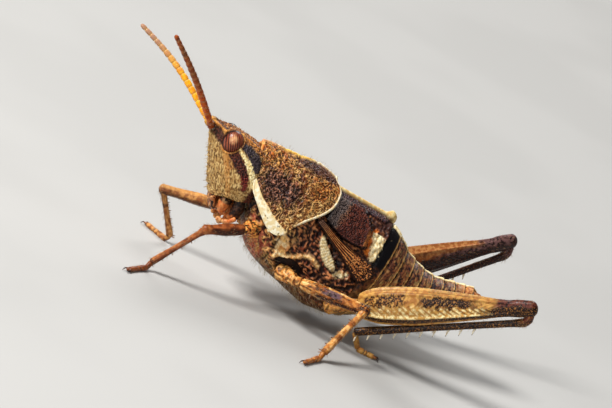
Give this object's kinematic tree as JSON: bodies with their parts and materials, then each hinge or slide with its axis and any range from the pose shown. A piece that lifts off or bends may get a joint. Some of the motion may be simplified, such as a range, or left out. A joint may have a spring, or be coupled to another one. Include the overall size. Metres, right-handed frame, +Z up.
{
  "type": "grasshopper",
  "caption": "Life-size grasshopper nymph with short wing pads, slanting face, raised feelers and bent hind legs, standing still on the floor.",
  "frame": {"origin": "on the floor, under the middle of the animal's bounding box", "axes": "+X to the animal's left, +Y from its head towards its tail, +Z up"},
  "size_m": [0.0266, 0.0403, 0.0201],
  "materials": {
    "head": "satin, finely pitted cuticle",
    "eye": "glossy",
    "antenna": "satin",
    "mouth": "satin",
    "pronotum": "wrinkled, satin",
    "thorax": "wrinkled, satin",
    "pad": "veined, satin",
    "abdomen": "satin",
    "leg": "satin"
  },
  "bodies": {
    "root": {"abdomen_1": "abdomen", "abdomen_2": "abdomen", "abdomen_3": "abdomen", "abdomen_4": "abdomen", "abdomen_5": "abdomen", "abdomen_6": "abdomen", "abdomen_7": "abdomen", "abdomen_8": "abdomen", "abdomen_9": "abdomen", "abdomen_tip": "abdomen", "antenna_left": "antenna", "antenna_right": "antenna", "coxa_front_left": "leg", "coxa_front_right": "leg", "coxa_hind_left": "leg", "coxa_hind_right": "leg", "coxa_middle_left": "leg", "coxa_middle_right": "leg", "eye_left": "eye", "eye_right": "eye", "femur_front_left": "leg", "femur_front_right": "leg", "femur_hind_left": "leg", "femur_hind_right": "leg", "femur_middle_left": "leg", "femur_middle_right": "leg", "forewing_pad_left": "pad", "forewing_pad_right": "pad", "head": "head", "hindwing_pad_left": "pad", "hindwing_pad_right": "pad", "labium": "mouth", "labrum": "mouth", "mandible_left": "mouth", "mandible_right": "mouth", "maxilla_left": "mouth", "maxilla_right": "mouth", "mesonotum": "pronotum", "mesothorax": "thorax", "metanotum": "pronotum", "metathorax": "thorax", "pronotum": "pronotum", "prothorax": "thorax", "tarsus_front_left": "leg", "tarsus_front_right": "leg", "tarsus_hind_left": "leg", "tarsus_hind_right": "leg", "tarsus_middle_left": "leg", "tarsus_middle_right": "leg", "tibia_front_left": "leg", "tibia_front_right": "leg", "tibia_hind_left": "leg", "tibia_hind_right": "leg", "tibia_middle_left": "leg", "tibia_middle_right": "leg"}
  },
  "joints": []
}
